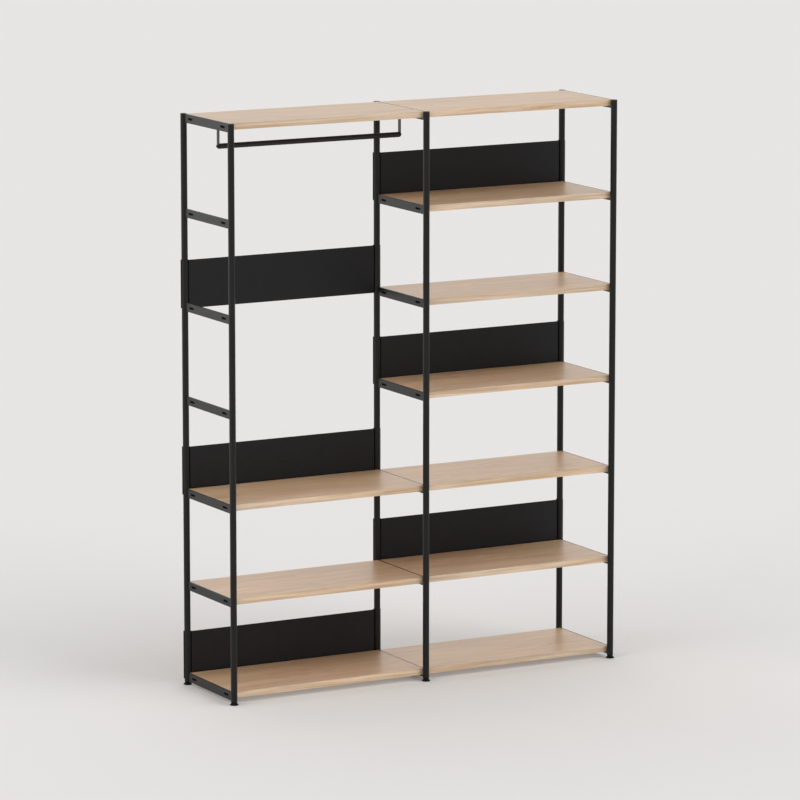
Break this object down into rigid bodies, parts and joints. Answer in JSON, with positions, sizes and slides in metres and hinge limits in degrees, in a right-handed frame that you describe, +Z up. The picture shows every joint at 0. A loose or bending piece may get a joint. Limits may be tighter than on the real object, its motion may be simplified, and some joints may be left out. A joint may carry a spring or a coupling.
{
  "type": "open clothes rack",
  "caption": "Open clothes rack, two bays wide: ladder frames of round posts and flat rungs, oak boards, a hanging rail, sheet back panels and screw-in feet.",
  "frame": {"origin": "on the floor under the middle of the rack, at the centre of its bounding box's base", "axes": "+X to the right as seen from the front, +Y to the back, +Z up"},
  "size_m": [1.502, 0.378, 1.962],
  "materials": {
    "post_coat": "satin black powder coat",
    "rung_coat": "satin dark grey powder coat",
    "panel_coat": "fine matt black powder coat",
    "rail_coat": "satin black powder coat",
    "oak": "light oak, matt",
    "foot_plastic": "matt black moulding",
    "cap_plastic": "matt black moulding",
    "insert_plastic": "matt black moulding",
    "bare_steel": "zinc plated"
  },
  "bodies": {
    "rack": {"post_front_left": "post_coat", "post_rear_left": "post_coat", "post_front_middle": "post_coat", "post_rear_middle": "post_coat", "post_front_right": "post_coat", "post_rear_right": "post_coat", "post_caps": "cap_plastic", "foot_bushes": "insert_plastic", "rung_left_0": "rung_coat", "rung_left_1": "rung_coat", "rung_left_2": "rung_coat", "rung_left_3": "rung_coat", "rung_left_4": "rung_coat", "rung_left_5": "rung_coat", "rung_left_6": "rung_coat", "rung_middle_0": "rung_coat", "rung_middle_1": "rung_coat", "rung_middle_2": "rung_coat", "rung_middle_3": "rung_coat", "rung_middle_4": "rung_coat", "rung_middle_5": "rung_coat", "rung_middle_6": "rung_coat", "rung_right_0": "rung_coat", "rung_right_1": "rung_coat", "rung_right_2": "rung_coat", "rung_right_3": "rung_coat", "rung_right_4": "rung_coat", "rung_right_5": "rung_coat", "rung_right_6": "rung_coat", "slot_inserts": "insert_plastic", "shelf_left_0": "oak", "shelf_left_1": "oak", "shelf_left_2": "oak", "shelf_left_6": "oak", "shelf_right_0": "oak", "shelf_right_1": "oak", "shelf_right_2": "oak", "shelf_right_3": "oak", "shelf_right_4": "oak", "shelf_right_5": "oak", "shelf_right_6": "oak", "shelf_pins": "bare_steel", "panel_left_0": "panel_coat", "panel_left_2": "panel_coat", "panel_left_4": "panel_coat", "panel_right_1": "panel_coat", "panel_right_3": "panel_coat", "panel_right_5": "panel_coat", "panel_grips": "insert_plastic", "hanging_rail": "rail_coat", "rail_hanger_left": "rail_coat", "rail_hanger_right": "rail_coat", "rail_bolts": "rail_coat", "hanger_screws": "bare_steel"},
    "front_left_foot": {"foot_front_left": "foot_plastic"},
    "rear_left_foot": {"foot_rear_left": "foot_plastic"},
    "front_middle_foot": {"foot_front_middle": "foot_plastic"},
    "rear_middle_foot": {"foot_rear_middle": "foot_plastic"},
    "front_right_foot": {"foot_front_right": "foot_plastic"},
    "rear_right_foot": {"foot_rear_right": "foot_plastic"}
  },
  "joints": [
    {"name": "front_left_foot_height", "type": "slide", "parent": "rack", "child": "front_left_foot", "axis": [0, 0, -1], "range_m": [0, 0.012]},
    {"name": "rear_left_foot_height", "type": "slide", "parent": "rack", "child": "rear_left_foot", "axis": [0, 0, -1], "range_m": [0, 0.012]},
    {"name": "front_middle_foot_height", "type": "slide", "parent": "rack", "child": "front_middle_foot", "axis": [0, 0, -1], "range_m": [0, 0.012]},
    {"name": "rear_middle_foot_height", "type": "slide", "parent": "rack", "child": "rear_middle_foot", "axis": [0, 0, -1], "range_m": [0, 0.012]},
    {"name": "front_right_foot_height", "type": "slide", "parent": "rack", "child": "front_right_foot", "axis": [0, 0, -1], "range_m": [0, 0.012]},
    {"name": "rear_right_foot_height", "type": "slide", "parent": "rack", "child": "rear_right_foot", "axis": [0, 0, -1], "range_m": [0, 0.012]}
  ]
}
